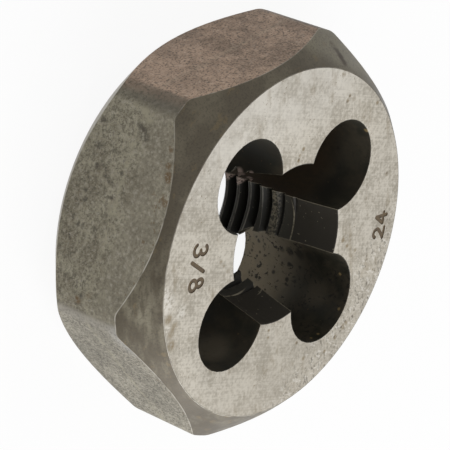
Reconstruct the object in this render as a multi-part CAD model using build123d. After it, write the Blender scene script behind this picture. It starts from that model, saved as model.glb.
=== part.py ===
from build123d import *

import math
import os

# A hexagon threading die, lying on its back face.  Millimetres and degrees.
# The origin is the centre of the back face, +Z runs along the thread axis and
# leaves through the start face, and +X points at the middle of one wrench flat
# and at the first chip hole.

# Hexagonal body, with its six corners turned down a little and blended into the flats
across_flats = 25.4
thickness = 9.525
corner_cut = 0.44
corner_blend = 1.2

# Chamfers turned on both ends of the hexagon, with their angle from the axis
start_face_diameter = 24.15
back_face_diameter = 24.0
chamfer_angle = 45.0

# Thread of the bore, a V with flat crests and roots
thread_diameter = 9.525
thread_pitch = 25.4 / 24
thread_flank_angle = 30.0
thread_start_angle = 115.0

# Tapered lead at the start face, backed off behind each cutting edge
lead_diameter = 10.92
lead_half_angle = 12.5
lead_relief = 0.45

# Short bevel where the thread leaves the back face
exit_bevel_diameter = 9.4
exit_bevel_half_angle = 45.0

# Chip holes, which break the bore into lands
chip_hole_count = 4
chip_hole_diameter = 6.35
chip_hole_circle_diameter = 13.45

# How far a cutter runs on past a face that it breaks through
overrun = 1.0

flat_count = 6
flat_step = 360 / flat_count
land_step = 360 / chip_hole_count

corner_circle_radius = across_flats / 2 / math.cos(math.radians(flat_step / 2)) - corner_cut
hole_radius = chip_hole_diameter / 2
hole_circle_radius = chip_hole_circle_diameter / 2

# Thread form: the full V is cut short by an eighth of its height at the root
# and by a sixth at the crest, as a die's teeth are, with flats of 1/8 and 1/6 of the pitch
sharp_v_height = thread_pitch / 2 / math.tan(math.radians(thread_flank_angle))
thread_depth = (1 - 1 / 8 - 1 / 6) * sharp_v_height
major_radius = thread_diameter / 2
minor_radius = major_radius - thread_depth
root_half_width = thread_pitch / 16
groove_overlap = thread_pitch / 12

# Half of the angle over which a chip hole opens into the bore
neck_half_angle = math.degrees(
    math.acos(
        (hole_circle_radius**2 + minor_radius**2 - hole_radius**2)
        / (2 * hole_circle_radius * minor_radius)
    )
)

# Each groove ends in the open necks on both sides of its land
groove_sweep = land_step - neck_half_angle

ON_BASE = (Align.CENTER, Align.CENTER, Align.MIN)


def at_angle(radius, angle):
    """The point at a polar radius and angle."""
    return radius * math.cos(math.radians(angle)), radius * math.sin(math.radians(angle))


def turned_end(radius_below, radius_above):
    """The cone that one chamfer is turned to, as tall as the die.

    Its slope is drawn as a Bezier line, so that the flats cut it in splines and not in hyperbolas.
    """
    slope = Bezier((radius_below, 0, 0), (radius_above, 0, thickness))
    sides = Polyline((radius_above, 0, thickness), (0, 0, thickness), (0, 0, 0), (radius_below, 0, 0))
    section = make_face([slope, *sides.edges()])
    return Rot(0, 0, flat_step / 2) * revolve(section, axis=Axis.Z)


def blank():
    """The hexagon with its corners turned down, and turned to a chamfer at both ends."""
    hexagon = RegularPolygon(across_flats / 2, flat_count, major_radius=False, rotation=flat_step / 2)
    outline = hexagon & Circle(corner_circle_radius)
    outline = fillet(outline.vertices(), corner_blend)
    spread = thickness * math.tan(math.radians(chamfer_angle))
    start_radius = start_face_diameter / 2
    back_radius = back_face_diameter / 2
    start_end = turned_end(start_radius + spread, start_radius)
    back_end = turned_end(back_radius, back_radius + spread)
    return extrude(outline, thickness) & start_end & back_end


def groove_half_width(radius):
    """Half the width of the thread's groove at one radius."""
    return root_half_width + (major_radius - radius) * math.tan(math.radians(thread_flank_angle))


def groove():
    """One turn's groove over one land: a trapezium swept along a piece of helix from the +X axis."""
    inner = minor_radius - groove_overlap
    mouth = groove_half_width(inner)
    path = Helix(thread_pitch, thread_pitch * groove_sweep / 360, inner)
    section = Polyline(
        (inner, 0, -mouth),
        (major_radius, 0, -root_half_width),
        (major_radius, 0, root_half_width),
        (inner, 0, mouth),
        close=True,
    )
    return sweep(make_face(section.edges()), path=path, is_frenet=True)


def thread_grooves(land_angle):
    """Every groove that the right-hand thread leaves on one land."""
    single = groove()
    first_angle = land_angle - groove_sweep / 2
    turns_behind = (first_angle - thread_start_angle) / 360
    first_turn = math.floor(-turns_behind) - 1
    last_turn = math.ceil(thickness / thread_pitch - turns_behind) + 1
    heights = [(turn + turns_behind) * thread_pitch for turn in range(first_turn, last_turn)]
    return [Pos(0, 0, height) * Rot(0, 0, first_angle) * single for height in heights]


def lead(land_angle):
    """The tapered lead of one land.

    The taper's axis is set off sideways, so that its radius grows from the cutting edge to the heel.
    """
    taper = math.tan(math.radians(lead_half_angle))
    inner = minor_radius - lead_relief
    outer = lead_diameter / 2 + overrun * taper
    length = (outer - inner) / taper
    offset_x, offset_y = at_angle(lead_relief, land_angle - 90)
    cone = Cone(inner, outer, length, align=ON_BASE)
    cone = Pos(offset_x, offset_y, thickness + overrun - length) * cone

    # The sector that belongs to this land, between the middles of two chip holes
    side = across_flats
    sector = Polyline(
        (0, 0),
        at_angle(side, land_angle - land_step / 2),
        at_angle(side, land_angle + land_step / 2),
        close=True,
    )
    height = thickness + 2 * overrun
    return cone & Pos(0, 0, -overrun) * extrude(make_face(sector.edges()), height)


def exit_bevel():
    """The cone that breaks the thread's edge at the back face."""
    taper = math.tan(math.radians(exit_bevel_half_angle))
    outer = exit_bevel_diameter / 2 + overrun * taper
    inner = minor_radius - overrun
    return Pos(0, 0, -overrun) * Cone(outer, inner, (outer - inner) / taper, align=ON_BASE)


def through_hole(radius, x=0.0, y=0.0):
    """A cylinder that runs through both faces."""
    return Pos(x, y, -overrun) * Cylinder(radius, thickness + 2 * overrun, align=ON_BASE)


def hex_die():
    """The whole die: bored, threaded, split into lands by the chip holes, then tapered."""
    hole_angles = [land_step * index for index in range(chip_hole_count)]
    land_angles = [angle + land_step / 2 for angle in hole_angles]
    die = blank() - through_hole(minor_radius)
    die -= [single for angle in land_angles for single in thread_grooves(angle)]
    die -= [through_hole(hole_radius, *at_angle(hole_circle_radius, angle)) for angle in hole_angles]
    die -= [lead(angle) for angle in land_angles]
    return die - exit_bevel()


os.makedirs("parts", exist_ok=True)
die = hex_die().solid()
die.label = "hex_die"
export_step(die, "parts/hex_die.step")
print("hex_die", "volume", round(die.volume, 1), "faces", len(die.faces()), "valid", die.is_valid)
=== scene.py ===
import math

import bmesh
import bpy
import numpy as np
from mathutils import Matrix, Vector
from mathutils.geometry import delaunay_2d_cdt


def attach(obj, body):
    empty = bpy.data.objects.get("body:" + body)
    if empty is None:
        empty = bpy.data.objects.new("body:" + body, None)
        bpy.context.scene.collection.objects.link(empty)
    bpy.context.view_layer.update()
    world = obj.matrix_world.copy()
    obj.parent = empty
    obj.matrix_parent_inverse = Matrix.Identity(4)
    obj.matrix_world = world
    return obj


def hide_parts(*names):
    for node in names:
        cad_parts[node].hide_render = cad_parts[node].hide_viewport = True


bl_info = {
    "name": "Hexagon Threading Die",
    "version": (1, 0, 0),
    "blender": (4, 5, 0),
    "location": "3D View > Sidebar > Die",
    "description": "Builds a hexagonal threading die with its teeth and worn steel, and a small studio",
    "category": "Object",
}

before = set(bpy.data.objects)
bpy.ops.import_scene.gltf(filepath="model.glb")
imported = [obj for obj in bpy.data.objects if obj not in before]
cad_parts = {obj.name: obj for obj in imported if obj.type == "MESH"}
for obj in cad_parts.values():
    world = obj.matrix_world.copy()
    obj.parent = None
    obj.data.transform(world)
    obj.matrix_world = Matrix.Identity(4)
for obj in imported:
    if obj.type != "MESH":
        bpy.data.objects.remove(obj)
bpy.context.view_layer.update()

MM = 0.001
TINY = 1e-7

# height of the die in millimetres, at which the wear on the start face lies, and about its radius
THICKNESS = 9.525
RIM_RADIUS = 13


# Settings


def a_length(name, description, millimetres):
    """A length property, given in millimetres and kept in metres."""
    return bpy.props.FloatProperty(
        name=name, description=description, default=millimetres * MM, unit="LENGTH", precision=5)


def an_angle(name, description, degrees):
    """An angle property, given in degrees and kept in radians."""
    return bpy.props.FloatProperty(
        name=name, description=description, default=math.radians(degrees), unit="ROTATION")


def a_colour(name, description, value):
    """A colour property, in scene-linear values."""
    return bpy.props.FloatVectorProperty(
        name=name, description=description, default=value, size=3, min=0, max=1, subtype="COLOR")


class DieSizes(bpy.types.PropertyGroup):
    """Sizes of the die, as they are in the CAD model"""

    across_flats: a_length("Across Flats", "Width over two opposite wrench flats", 25.4)
    thickness: a_length("Thickness", "Height from the back face to the start face", THICKNESS)
    corner_cut: a_length("Corner Cut", "How far each corner is turned down from a sharp hexagon", 0.44)
    corner_blend: a_length("Corner Blend", "Radius between a turned corner and its flats", 1.2)
    start_face: a_length("Start Face", "Diameter of the face that meets the screw first", 24.15)
    back_face: a_length("Back Face", "Diameter of the face that the die lies on", 24.0)
    chamfer_angle: an_angle("Chamfer Angle", "Angle of both chamfers from the thread's axis", 45)
    thread_diameter: a_length("Thread Diameter", "Diameter at the roots of the thread", 9.525)
    thread_pitch: a_length("Pitch", "Rise of the thread in one turn", 25.4 / 24)
    thread_start: an_angle("Thread Start", "Angle at which a groove crosses the back face", 115)
    lead_diameter: a_length("Lead Diameter", "Diameter of the tapered lead at the start face", 10.92)
    lead_angle: an_angle("Lead Angle", "Angle of the taper from the thread's axis", 12.5)
    lead_relief: a_length("Lead Relief", "Sideways set of each land's taper, behind its cutting edge", 0.45)
    exit_bevel: a_length("Exit Bevel", "Diameter of the bevel where the thread leaves the back face", 9.4)
    chip_hole: a_length("Chip Hole", "Diameter of each chip hole", 6.35)
    chip_circle: a_length("Chip Hole Circle", "Diameter of the circle on which the chip holes lie", 13.45)
    hole_edge: a_length("Hole Edge", "Radius worn on the edges of the holes", 0.05)
    flat_edge: a_length("Flat Edge", "Radius worn between the flats and the chamfers", 0.16)
    face_edge: a_length("Face Edge", "Radius worn between the faces and the chamfers", 0.10)
    mark_width: a_length("Mark Width", "Width of a stroke of the etched numerals", 0.28)
    mark_depth: a_length("Mark Depth", "Depth of the etched numerals", 0.05)


class DieFinish(bpy.types.PropertyGroup):
    """Colours of the steel"""

    ground_light: a_colour("Ground Steel", "Bare steel of the ground faces", (0.675, 0.630, 0.545))
    ground_dark: a_colour("Dulled Steel", "Duller streaks in the ground faces", (0.430, 0.390, 0.318))
    ground_pale: a_colour("Pale Rim", "Cleanest steel, along the rims", (0.800, 0.765, 0.695))
    scale_olive: a_colour("Heat Scale", "Grey-olive scale on the flats", (0.183, 0.160, 0.108))
    # thin scale, also painted light on the chamfers
    thin_scale_and_light: a_colour("Thin Scale", "Places where the scale is thin", (0.325, 0.298, 0.214))
    scale_even: a_colour("Even Scale", "Smoother scale beside the start chamfer", (0.250, 0.225, 0.168))
    scale_grey: a_colour("Grey Scale", "Grey scale on the cleanest flats", (0.190, 0.172, 0.127))
    scale_pale: a_colour("Rubbed Scale", "Grey scale that is nearly worn away", (0.345, 0.315, 0.245))
    scale_pink: a_colour("Red Scale", "Reddish scale on two of the flats", (0.450, 0.315, 0.222))
    red_dark: a_colour("Dark Red Scale", "Darker patches of the reddish scale", (0.235, 0.158, 0.104))
    # painted sheen on one corner
    sheen: a_colour("Sheen", "Bluish grey where a corner is burnished", (0.360, 0.355, 0.355))
    # painted shade on one side of the turned corners, and painted light on the other
    corner: a_colour("Corner", "Smooth scale on the turned corners", (0.098, 0.085, 0.062))
    corner_painted_light: a_colour("Pale Corner", "Rubbed scale on the turned corners", (0.370, 0.345, 0.300))
    # dark turned scale, also the colour of the painted light in the chip holes
    turned_dark_and_hole_light: a_colour("Turned Chamfer", "Dark scale on the turned chamfers", (0.118, 0.099, 0.068))
    turned_light: a_colour("Rubbed Chamfer", "Rubbed places on the chamfers", (0.170, 0.147, 0.102))
    # drawn smudges, also painted shade on the chamfers
    smudge_and_shade: a_colour("Smudge", "Drawn dark smudges on the chamfers", (0.080, 0.063, 0.038))
    oxide: a_colour("Dark Film", "Film in the chip holes", (0.022, 0.021, 0.014))
    oxide_brown: a_colour("Brown Film", "Browner film in the chip holes", (0.050, 0.041, 0.027))
    dust: a_colour("Dust", "Grey-brown dust in the holes and along cutting edges", (0.270, 0.238, 0.172))
    # dusty wall, also painted light that grows towards the back face
    wall: a_colour("Dusty Wall", "Dusty chip hole wall beside the packed chips", (0.600, 0.520, 0.385))
    # teeth, also painted shade in the chip holes and on the far land
    tooth: a_colour("Teeth", "Flanks and roots of the thread", (0.016, 0.015, 0.011))
    crest: a_colour("Crests", "Rubbed crests of the thread", (0.048, 0.045, 0.035))
    # worn crest edges, partly painted highlight
    crest_edge_wear_and_highlight: a_colour("Crest Edges", "Worn edges of the crests", (0.175, 0.163, 0.136))
    lead: a_colour("Lead", "Dark film on the tapered lead", (0.033, 0.028, 0.021))
    pinkish_ends: a_colour("Rubbed Ends", "Reddish steel at the first teeth's ends", (0.560, 0.430, 0.365))
    # bare steel on worn edges, also a painted highlight on one side of them
    bright: a_colour("Worn Edge", "Bare steel along worn edges", (0.60, 0.57, 0.50))
    bare: a_colour("Bare Chamfer", "Bare steel of the back chamfer", (0.470, 0.440, 0.375))
    pit: a_colour("Pits", "Bottoms of the pits", (0.055, 0.046, 0.033))
    stain: a_colour("Stains", "Brown stains and specks", (0.230, 0.165, 0.075))
    # dark brown stains, also painted shade on the rake face
    dark_stain_and_shade: a_colour("Dark Stains", "Dark brown stains", (0.060, 0.040, 0.022))
    rust: a_colour("Rust", "Small rusty spots", (0.140, 0.090, 0.042))
    mark: a_colour("Marks", "Etched numerals", (0.108, 0.076, 0.047))


class StudioSettings(bpy.types.PropertyGroup):
    """The floor, the lamps and the camera"""

    floor: a_colour("Floor", "Colour of the pale floor", (0.90, 0.90, 0.90))
    floor_half: a_length("Floor Half Width", "From the middle of the floor to each side", 3000)
    floor_drop: a_length("Floor Drop", "How far the floor lies below the back face", 0.02)
    floor_glow: bpy.props.FloatProperty(
        name="Floor Glow", description="How much of the floor is plain white to the camera", default=0.92,
        min=0, max=1, subtype="FACTOR")
    sky: bpy.props.FloatProperty(
        name="Sky", description="Strength of the light from all round", default=0.55, min=0)
    key_power: bpy.props.FloatProperty(
        name="Key Power", description="Power of the key lamp", default=1.1, unit="POWER")
    key_size: a_length("Key Size", "Side of the square key lamp", 300)
    key_target: a_length("Key Target", "Height on the thread's axis at which the key lamp points", 5)
    key_place: bpy.props.FloatVectorProperty(
        name="Key Place", description="Where the key lamp stands",
        default=(190 * MM, 240 * MM, 190 * MM), size=3, unit="LENGTH")
    lens: bpy.props.FloatProperty(
        name="Focal Length", description="Focal length on a sensor 36 mm wide", default=186.96,
        subtype="DISTANCE_CAMERA")
    camera_place: bpy.props.FloatVectorProperty(
        name="Camera Place", description="Where the camera stands",
        default=(48.018 * MM, -118.094 * MM, 95.955 * MM), size=3, unit="LENGTH")
    camera_right: bpy.props.FloatVectorProperty(
        name="Camera Right", description="Direction that runs to the right across the picture",
        default=(-0.54786, 0.36335, 0.75354), size=3, subtype="DIRECTION")
    camera_ahead: bpy.props.FloatVectorProperty(
        name="Camera Ahead", description="Direction in which the camera looks",
        default=(-0.30383, 0.75283, -0.58390), size=3, subtype="DIRECTION")


SETTINGS = {"die_sizes": DieSizes, "die_finish": DieFinish, "die_studio": StudioSettings}

LANDS = 4
LAND_STEP = 360 / LANDS
FLATS = 6

# half of a root's flat, as a share of the pitch
ROOT_SHARE = 1 / 16

# height of a tooth as a share of the full V, which is cut short at the root and at the crest
TOOTH_SHARE = 1 - 1 / 8 - 1 / 6

# how far a flank of 30 degrees falls for each unit along the axis
FLANK_FALL = math.sqrt(3)

# rows of the hollow's mesh: to a pitch, spare below the back face, and over the worn edge at either end
ROWS_TO_PITCH = 32
SPARE_ROWS = 8
EDGE_ROWS = 4

# first guess of the angle in degrees from a chip hole's middle to its neck, and how often it is improved
NECK_GUESS = 22.0
NECK_ROUNDS = 25

# rows of the outside's mesh: over a chamfer, over a flat, and over a worn edge, as bright as it says
CHAMFER_ROWS = 5
FLAT_ROWS = 16
ARC_GLEAM = (0.0, 0.6, 1.0, 0.6, 0.0)
ARC_STEPS = len(ARC_GLEAM) - 1

# lump of packed chips, in millimetres: its upright line, how far round it reaches and how far it stands
# out, the heights from and up to which it does, and the way in which it does, in degrees
CHIPS_LINE = (-1.769, 4.612)
CHIPS_REACH = 1.037
CHIPS_PUSH = 1.056
CHIPS_FROM = 0.39
CHIPS_TO = 2.58
CHIPS_WAY = 32.7

# angle in degrees past which an edge of the mesh is shaded sharp
SHARP_ANGLE = 32


# Shape of the hollow


def above_groove(size, angle, height):
    """Height of a point over the centre of the nearest groove.

    Grooves lie a whole number of turns from the start angle, so it is the odd share of a turn times
    the pitch.
    """
    turns = height / size.thread_pitch - (angle - math.degrees(size.thread_start)) / 360
    return (turns - np.round(turns)) * size.thread_pitch


def thread_radius(size, angle, height):
    """Radius of the thread at an angle in degrees and a height.

    It is the root's own within 1/16 of the pitch of a groove's centre, falls along a 30 degree flank
    beyond it, and stops at the crest.
    """
    away = np.abs(above_groove(size, angle, height))
    flank = np.maximum(away - size.thread_pitch * ROOT_SHARE, 0) * FLANK_FALL
    return np.maximum(size.thread_diameter / 2 - flank, crest_radius(size))


def crest_radius(size):
    """Radius at the thread's crests: the root's, less the tooth's share of the full V's height."""
    return size.thread_diameter / 2 - TOOTH_SHARE * size.thread_pitch / 2 * FLANK_FALL


def lead_radius(size, angle, height):
    """Radius of the tapered lead: a cone whose axis is set sideways, square to the land's middle.

    The cone narrows below the start face by the tangent of its angle. Its radius about the thread's axis
    is the far point where a ray meets the cone's circle at that height.
    """
    middle = np.floor(angle / LAND_STEP) * LAND_STEP + LAND_STEP / 2
    cone = size.lead_diameter / 2 - (size.thickness - height) * math.tan(size.lead_angle)
    swing = np.radians(angle - middle + 90)
    reach = np.maximum(cone, size.lead_relief * 1.01)
    return size.lead_relief * np.cos(swing) + np.sqrt(reach**2 - (size.lead_relief * np.sin(swing)) ** 2)


def edge_opening(size, height):
    """How far a worn edge opens a hole near either face: a quarter round of the edge's radius."""
    worn = size.hole_edge
    above = np.clip(height - (size.thickness - worn), 0, worn)
    below = np.clip(worn - height, 0, worn)
    return 2 * worn - np.sqrt(worn**2 - above**2) - np.sqrt(worn**2 - below**2)


def land_radius(size, angle, height):
    """Radius of a land: the largest of its thread, its lead, the exit bevel and the crest."""
    bevel = size.exit_bevel / 2 - height
    radius = np.maximum(thread_radius(size, angle, height), lead_radius(size, angle, height))
    return np.maximum(np.maximum(radius, bevel), crest_radius(size)) + edge_opening(size, height)


def neck(size, height_at, hole_angle, side):
    """The point where a chip hole runs into a land, on one side of the hole.

    By the law of cosines the hole meets a circle of the land's radius at one angle from the hole's
    centre line. The land's radius depends on that angle, so the angle is worked out again and again.
    """
    offset = np.full_like(height_at(0.0), NECK_GUESS)
    circle = size.chip_circle / 2
    for _ in range(NECK_ROUNDS):
        angle = hole_angle + side * offset
        radius = land_radius(size, angle, height_at(angle))
        hole = size.chip_hole / 2 + edge_opening(size, height_at(angle))
        cosine = (circle**2 + radius**2 - hole**2) / (2 * circle * radius)
        offset = np.degrees(np.arccos(np.clip(cosine, -1, 1)))
    return hole_angle + side * offset


def hole_half(size, height_at, hole_angle, side, shares):
    """Half of a chip hole's wall, from its far point (share 0) to the neck (share 1).

    A point of the circle lies at the hole's radius from the hole's centre, at an angle that grows
    evenly from the far point to the neck. The height follows the helix between the same two ends.
    """
    end = neck(size, height_at, hole_angle, side)
    end_height = height_at(end)
    end_radius = land_radius(size, end, end_height)
    offset = np.radians(end - hole_angle)
    circle = size.chip_circle / 2
    swing = np.arctan2(end_radius * np.sin(offset), end_radius * np.cos(offset) - circle)
    swing = swing * shares
    angle = hole_angle + (end - hole_angle) * shares
    height = height_at(angle)
    hole = size.chip_hole / 2 + edge_opening(size, height)
    along = circle + hole * np.cos(swing)
    across = hole * np.sin(swing)
    turn = math.radians(hole_angle)
    x = along * math.cos(turn) - across * math.sin(turn)
    y = along * math.sin(turn) + across * math.cos(turn)
    from_edge = np.abs(swing[:, -1:] - swing) * hole
    return np.stack([x, y, height], axis=-1), from_edge


def packed_chips(points):
    """Pushes a hole's wall and the ends of the first teeth beside it out into a lump of packed chips.

    The push falls off as a bell curve does with the distance from the lump's own upright line. It
    eases in above the back face and out again at the third tooth, and two waves make it uneven.
    """
    x, y, height = (points[..., axis] / MM for axis in range(3))
    line_x, line_y = CHIPS_LINE
    near = np.exp(-((x - line_x) ** 2 + (y - line_y) ** 2) / CHIPS_REACH**2)
    rise = 1 / (1 + np.exp((CHIPS_FROM - height) / 0.12)) * np.clip(height / 0.1, 0, 1)
    fall = 1 / (1 + np.exp((height - CHIPS_TO) / 0.15))
    lumps = 1 + 0.05 * np.sin(height * 8.0 + 3 * x) + 0.03 * np.sin(height * 19.0 - 9 * y)
    push = CHIPS_PUSH * near * rise * fall * lumps * MM
    turn = math.radians(CHIPS_WAY)
    return points + push[..., None] * np.array([math.cos(turn), math.sin(turn), 0.0])


def graze_line(size, away, height, radius, shares):
    """1 along the faint line where the lead grazes a root, easing to 0 beside it.

    The line lies a little under the groove's centre and bows down with the cube of the share over the
    land. It shows at two thirds of the die's height, where the radius is about the root's.
    """
    bow = (0.05 + 0.40 * shares**3) * MM
    line = np.exp(-((away + bow) / (0.06 * MM)) ** 2)
    at_height = np.abs(height / size.thickness - 0.66) < 0.07
    near_root = size.thread_diameter / 2 + np.array([-0.35, -0.10, 0.12, 0.20]) * MM
    return line * at_height * np.interp(radius, near_root, [0, 1, 1, 0])


def land_strip(size, height_at, first_hole, shares):
    """The toothed surface of one land, from the neck of one hole (share 0) to that of the next (1).

    Its edge value is 1 at both necks and along the faint line where the lead grazes a root. Its
    rubbed value is 1 on the crests and the lead and falls to 0 at the roots.
    """
    start = neck(size, height_at, first_hole, 1)
    stop = neck(size, height_at, first_hole + LAND_STEP, -1)
    angle = start + (stop - start) * shares
    height = height_at(angle)
    radius = land_radius(size, angle, height)
    turn = np.radians(angle)
    points = np.stack([radius * np.cos(turn), radius * np.sin(turn), height], axis=-1)
    from_neck = np.minimum(angle - start, stop - angle) * np.radians(radius)
    edge = np.exp(-from_neck / (0.06 * MM))
    graze = graze_line(size, above_groove(size, angle, height), height, radius, shares)
    root = size.thread_diameter / 2
    plain = edge_opening(size, height) > 0
    ground = (radius > thread_radius(size, angle, height) + TINY) | plain
    rubbed = np.where(ground, 1.0, (root - radius) / (root - crest_radius(size)))
    return points, np.maximum(edge, graze), rubbed


def row_heights(size):
    """The rows of the hollow: their base height, their lift per turn and their limits.

    Between the worn edges the rows climb with the thread, a whole number of them to its pitch, so that
    they run along its crests and roots. They are cut off at the worn edges, which have level rows of
    their own.
    """
    worn = size.hole_edge
    step = size.thread_pitch / ROWS_TO_PITCH
    first = -size.thread_pitch * math.degrees(size.thread_start) / 360
    count = math.ceil((size.thickness + 2 * size.thread_pitch) / step)
    climbing = first - size.thread_pitch + step * np.arange(-SPARE_ROWS, count)
    climbing = climbing[(climbing > -size.thread_pitch - 2 * step) & (climbing < size.thickness + step)]
    steps = worn * np.sin(np.radians(90 / EDGE_ROWS * np.arange(EDGE_ROWS, 0, -1)))
    below = worn - steps
    above = size.thickness - worn + steps[::-1]
    base = np.concatenate([below, climbing, above])
    lift = np.concatenate([0 * below, 0 * climbing + size.thread_pitch, 0 * above])
    low = np.concatenate([below, 0 * climbing + worn, above])
    high = np.concatenate([below, 0 * climbing + size.thickness - worn, above])
    return [part[:, None] for part in (base, lift, low, high)]


# shares of the way over half a chip hole, and over a land, at which the mesh has a column
HOLE_SHARES = np.array([
    0, 0.08, 0.16, 0.24, 0.32, 0.4, 0.48, 0.56, 0.64, 0.72, 0.80, 0.87, 0.93, 0.965, 0.985, 0.995, 1])
LAND_SHARES = np.array([
    0, 0.012, 0.03, 0.06, 0.11, 0.18, 0.27, 0.38, 0.5, 0.62, 0.73, 0.82, 0.89, 0.94, 0.97, 0.988, 1])


def hollow_strips(size):
    """Every strip of the hollow's wall, in order round the axis, as (points, edge, rubbed, finish)."""
    chipped_hole = LAND_STEP
    base, lift, low, high = row_heights(size)

    def height_at(angle):
        return np.clip(base + lift * angle / 360, low, high)

    def edge_value(distance):
        return np.exp(-distance / (0.05 * MM))

    strips = []
    for hole_angle in LAND_STEP * np.arange(LANDS):
        wall, from_neck = hole_half(size, height_at, hole_angle, 1, HOLE_SHARES)
        land, edge, rubbed = land_strip(size, height_at, hole_angle, LAND_SHARES)
        if hole_angle == chipped_hole:
            wall, land = packed_chips(wall), packed_chips(land)
        strips.append((wall, edge_value(from_neck), 0 * from_neck, "hole"))
        strips.append((land, edge, rubbed, "land"))
        points, from_neck = hole_half(size, height_at, hole_angle + LAND_STEP, -1, HOLE_SHARES)
        strips.append((points[:, ::-1], edge_value(from_neck)[:, ::-1], 0 * from_neck, "hole"))
    return strips


# Shape of the outside


def hexagon_radius(size, angle):
    """Polar radius of the outline: flat, then the blend's arc, then the turned corner.

    On a flat it is half the width over the cosine of the angle from the flat's middle. On the blend it is
    the far point where a ray meets the blend's circle, and on the corner it stays the same.
    """
    half = size.across_flats / 2
    corner = half / math.cos(math.pi / FLATS) - size.corner_cut
    blend = size.corner_blend
    blend_x = half - blend
    blend_y = math.sqrt((corner - blend) ** 2 - blend_x**2)
    flat_end = math.atan2(blend_y, half)
    blend_end = math.atan2(blend_y, blend_x)
    turn = np.abs((angle + math.pi / FLATS) % (2 * math.pi / FLATS) - math.pi / FLATS)
    centre = corner - blend
    aside = centre * np.sin(turn - blend_end)
    arc = centre * np.cos(turn - blend_end) + np.sqrt(np.maximum(blend**2 - aside**2, 0))
    return np.where(turn < flat_end, half / np.cos(turn), np.where(turn < blend_end, arc, corner))


def rounded(before, corner, after, radius, steps):
    """An arc of one radius that rounds a corner between two others, for a whole row of profiles.

    Its centre lies on the corner's bisector, at the radius over the sine of half the angle. Its points
    turn evenly about the centre from one side to the other.
    """
    one = before - corner
    two = after - corner
    one /= np.linalg.norm(one, axis=-1, keepdims=True)
    two /= np.linalg.norm(two, axis=-1, keepdims=True)
    half = np.arccos(np.clip((one * two).sum(-1, keepdims=True), -1, 1)) / 2
    bisector = one + two
    bisector /= np.linalg.norm(bisector, axis=-1, keepdims=True)
    centre = corner + bisector * radius / np.sin(half)
    start = corner + one * radius / np.tan(half) - centre
    stop = corner + two * radius / np.tan(half) - centre
    whole = math.pi - 2 * half
    share = np.linspace(0, 1, steps + 1)[:, None, None]
    return centre + (np.sin((1 - share) * whole) * start + np.sin(share * whole) * stop) / np.sin(whole)


def between(start, stop, steps):
    """Points that run evenly from one row of points to the next, without either end."""
    share = np.linspace(0, 1, steps + 1)[1:-1, None, None]
    return start * (1 - share) + stop * share


# angles from the middle of a flat at which a profile stands, closest together over the corner's blend
CORNER_TURNS = np.radians([
    0, 3.5, 7, 10.5, 14, 17.5, 20.5, 23, 24.6, 25.71, 26.28, 26.85, 27.42, 28.0, 28.67, 29.33])


def outside_strips(size):
    """The chamfers, flats and corners: one profile in radius and height for every angle.

    Each profile runs from the back face up the back chamfer, the flat and the start chamfer to the
    start face. Its four corners are rounded, and each strip ends in the middle of an edge.
    """
    side = np.concatenate([CORNER_TURNS, 2 * math.pi / FLATS - CORNER_TURNS[:0:-1]])
    side = np.sort(np.append(side, math.pi / FLATS))
    angle = (side[None, :] + np.arange(FLATS)[:, None] * 2 * math.pi / FLATS).ravel()
    angle = np.append(angle, 2 * math.pi)
    radius = hexagon_radius(size, angle)
    slope = math.tan(size.chamfer_angle)
    back = size.back_face / 2
    start = size.start_face / 2

    def row(reach, height):
        return np.stack([reach + 0 * radius, height + 0 * radius], axis=-1)

    stops = [
        row(0, 0),
        row(back, 0),
        row(radius, (radius - back) / slope),
        row(radius, size.thickness - (radius - start) / slope),
        row(start, size.thickness),
        row(0, size.thickness),
    ]
    worn = [size.face_edge, size.flat_edge, size.flat_edge, size.face_edge]
    corners = zip(stops, stops[1:], stops[2:], worn)
    arcs = [rounded(before, corner, after, edge, ARC_STEPS) for before, corner, after, edge in corners]
    rise = np.array(ARC_GLEAM)[:, None] + 0 * radius
    rows = (CHAMFER_ROWS, FLAT_ROWS, CHAMFER_ROWS)
    runs = [between(below[-1], above[0], count) for below, above, count in zip(arcs, arcs[1:], rows)]
    blank = [0 * run[..., 0] for run in runs]
    half = ARC_STEPS // 2
    first, last = slice(half + 1), slice(half, None)
    profiles = (
        ("chamfer", [arcs[0], runs[0], arcs[1][first]], [rise, blank[0], rise[first]]),
        ("flat", [arcs[1][last], runs[1], arcs[2][first]], [rise[last], blank[1], rise[first]]),
        ("chamfer", [arcs[2][last], runs[2], arcs[3]], [rise[last], blank[2], rise]),
    )
    strips = []
    for finish, profile, bright in profiles:
        reach, height = np.moveaxis(np.concatenate(profile), -1, 0)
        points = np.stack([reach * np.cos(angle), reach * np.sin(angle), height], axis=-1)
        strips.append((points, np.concatenate(bright), finish))
    return strips, angle[:-1], arcs[0][0, 0, 0], arcs[-1][-1, 0, 0]


# Numerals


def arc_points(centre, radii, first, last, count):
    """Points of an ellipse's arc between two angles in degrees."""
    turn = np.radians(np.linspace(first, last, count))
    return np.stack([centre[0] + radii[0] * np.cos(turn), centre[1] + radii[1] * np.sin(turn)], axis=-1)


def straight(start, stop):
    """A straight line between two points."""
    return np.array([start, stop])


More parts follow.
